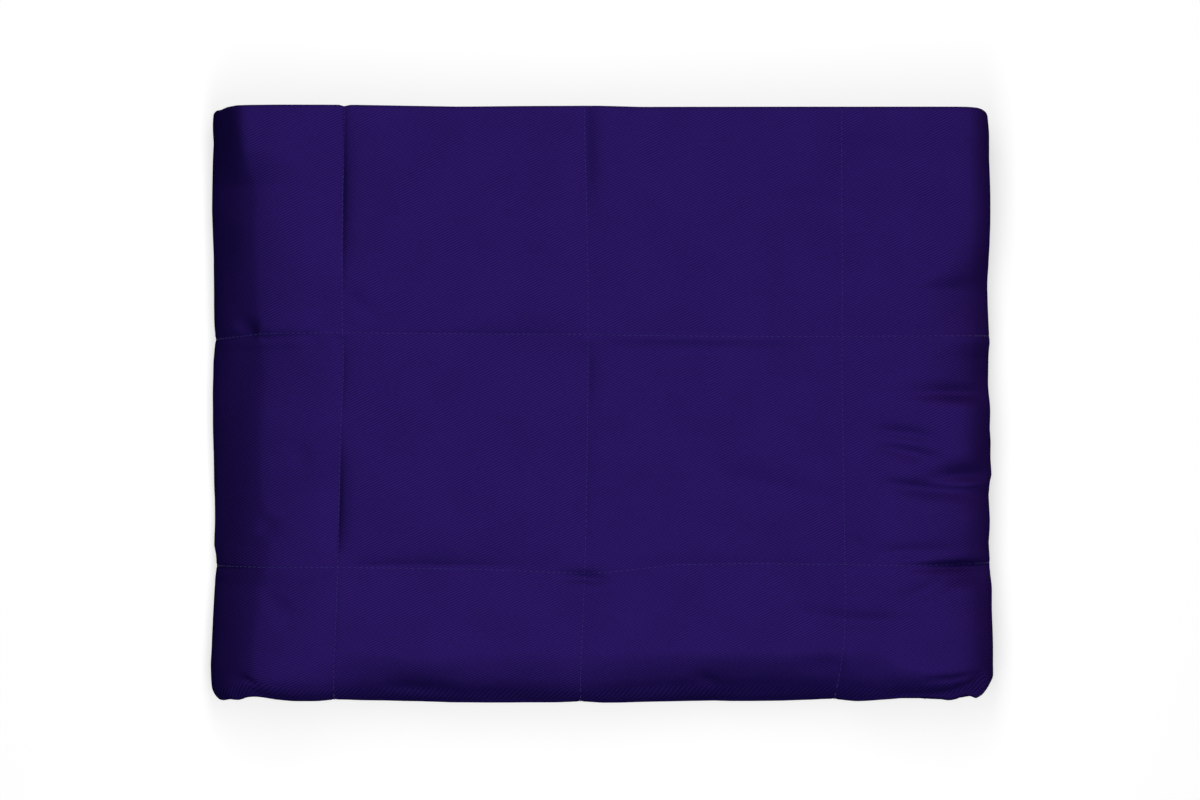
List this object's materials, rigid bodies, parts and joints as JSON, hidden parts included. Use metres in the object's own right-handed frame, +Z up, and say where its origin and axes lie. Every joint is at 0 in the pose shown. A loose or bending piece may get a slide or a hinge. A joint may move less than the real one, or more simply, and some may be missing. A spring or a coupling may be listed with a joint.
{
  "type": "weighted blanket",
  "caption": "Quilted weighted blanket in plain dark violet cotton twill, sewn through in squares and folded into a flat rectangular stack.",
  "frame": {"origin": "middle of the bounding box at the underside, on the surface that the folded blanket lies on", "axes": "+X to the right across the folded blanket, +Y from the front fold to the back edge, +Z up through the stack"},
  "size_m": [0.4088, 0.3126, 0.068],
  "materials": {
    "cotton_twill": "matt cotton twill, plain dark violet, quilted in squares with matching thread"
  },
  "bodies": {
    "root": {"blanket": "cotton_twill"}
  },
  "joints": []
}
